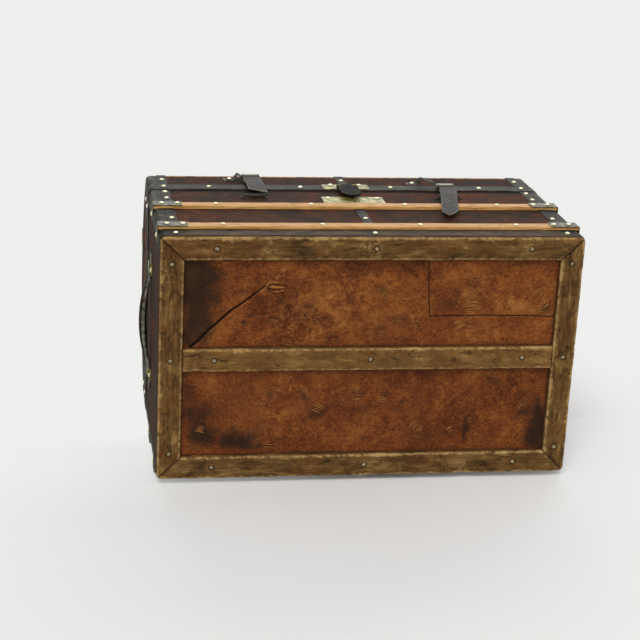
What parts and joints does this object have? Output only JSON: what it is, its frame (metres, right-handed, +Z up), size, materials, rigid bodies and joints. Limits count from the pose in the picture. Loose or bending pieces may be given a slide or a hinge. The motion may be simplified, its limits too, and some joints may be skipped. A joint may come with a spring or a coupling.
{
  "type": "dome top trunk",
  "caption": "Dome top travelling trunk in dark leather with wooden slats, steel bands and brass nails; hinged lid, hasp lock, leather straps and end handles.",
  "frame": {"origin": "middle of the base, on the floor plane that the bottom battens stand on", "axes": "+Z up, X along the trunk's length, the front with the lock faces -Y"},
  "size_m": [0.858, 0.513, 0.5622],
  "materials": {
    "weathered_wood": "dull",
    "slat_wood": "worn",
    "carcass_wood": "plain",
    "body_leather": "worn",
    "bottom_leather": "scuffed",
    "strap_leather": "worn",
    "black_steel": "worn",
    "lock_steel": "dark",
    "brass_plate": "tarnished",
    "brass_nails": "polished by handling",
    "screw_steel": "worn",
    "lining": "matt"
  },
  "bodies": {
    "body": {"batten_front": "weathered_wood", "batten_back": "weathered_wood", "batten_left": "weathered_wood", "batten_right": "weathered_wood", "batten_centre": "weathered_wood", "slat_front_lower": "slat_wood", "slat_front_upper": "slat_wood", "slat_back_lower": "slat_wood", "slat_back_upper": "slat_wood", "bottom_board": "carcass_wood", "front_board": "carcass_wood", "back_board": "carcass_wood", "end_board_left": "carcass_wood", "end_board_right": "carcass_wood", "body_leather": "body_leather", "bottom_leather": "bottom_leather", "handle_ends": "strap_leather", "body_corner_bindings": "black_steel", "bottom_edge_strips": "black_steel", "body_bands": "black_steel", "body_slat_clamps": "black_steel", "strap_loops": "black_steel", "hinge_body_leaves": "black_steel", "lock_case": "lock_steel", "lock_plate": "brass_plate", "handle_loops": "brass_plate", "body_nails": "brass_nails", "bottom_screws": "screw_steel", "hinge_pins": "screw_steel", "body_lining": "lining"},
    "lid": {"lid_front_rail": "carcass_wood", "lid_back_rail": "carcass_wood", "lid_end_left": "carcass_wood", "lid_end_right": "carcass_wood", "dome_stave_1": "carcass_wood", "dome_stave_2": "carcass_wood", "dome_stave_3": "carcass_wood", "dome_stave_4": "carcass_wood", "dome_stave_5": "carcass_wood", "dome_stave_6": "carcass_wood", "lid_leather": "body_leather", "lid_lining": "lining", "rim_band": "black_steel", "lid_corner_caps": "black_steel", "lid_bands": "black_steel", "dome_slat_front": "slat_wood", "dome_slat_back": "slat_wood", "lid_slat_clamps": "black_steel", "lid_nails": "brass_nails", "hasp_plate": "brass_plate", "strap_keepers": "strap_leather", "strap_folds": "strap_leather", "hinge_lid_leaves": "black_steel"},
    "hasp": {"hasp": "lock_steel"},
    "lock_bolt": {"lock_bolt": "screw_steel"},
    "strap_left": {"strap_tongue_left": "strap_leather"},
    "strap_right": {"strap_tongue_right": "strap_leather"},
    "handle_left": {"handle_grip_left": "strap_leather"},
    "handle_right": {"handle_grip_right": "strap_leather"}
  },
  "joints": [
    {"name": "lid_hinge", "type": "hinge", "parent": "body", "child": "lid", "pos_m": [0, 0.249, 0.3424], "axis": [-1, 0, 0], "range_deg": [0, 105]},
    {"name": "hasp_hinge", "type": "hinge", "parent": "lid", "child": "hasp", "pos_m": [0, -0.2499, 0.352], "axis": [-1, 0, 0], "range_deg": [-4.5, 110]},
    {"name": "lock_bolt_slide", "type": "slide", "parent": "body", "child": "lock_bolt", "axis": [-1, 0, 0], "range_m": [0, 0.0055]},
    {"name": "strap_hinge_left", "type": "hinge", "parent": "lid", "child": "strap_left", "pos_m": [-0.19, -0.2539, 0.4038], "axis": [-1, 0, 0], "range_deg": [0, 100]},
    {"name": "strap_hinge_right", "type": "hinge", "parent": "lid", "child": "strap_right", "pos_m": [0.21, -0.2539, 0.3318], "axis": [-1, 0, 0], "range_deg": [0, 100]},
    {"name": "handle_hinge_left", "type": "hinge", "parent": "body", "child": "handle_left", "pos_m": [-0.414, 0, 0.24], "axis": [0, 1, 0], "range_deg": [-18, 18], "stiffness_Nm_per_rad": 0.15},
    {"name": "handle_hinge_right", "type": "hinge", "parent": "body", "child": "handle_right", "pos_m": [0.414, 0, 0.24], "axis": [0, 1, 0], "range_deg": [-18, 18], "stiffness_Nm_per_rad": 0.15}
  ]
}
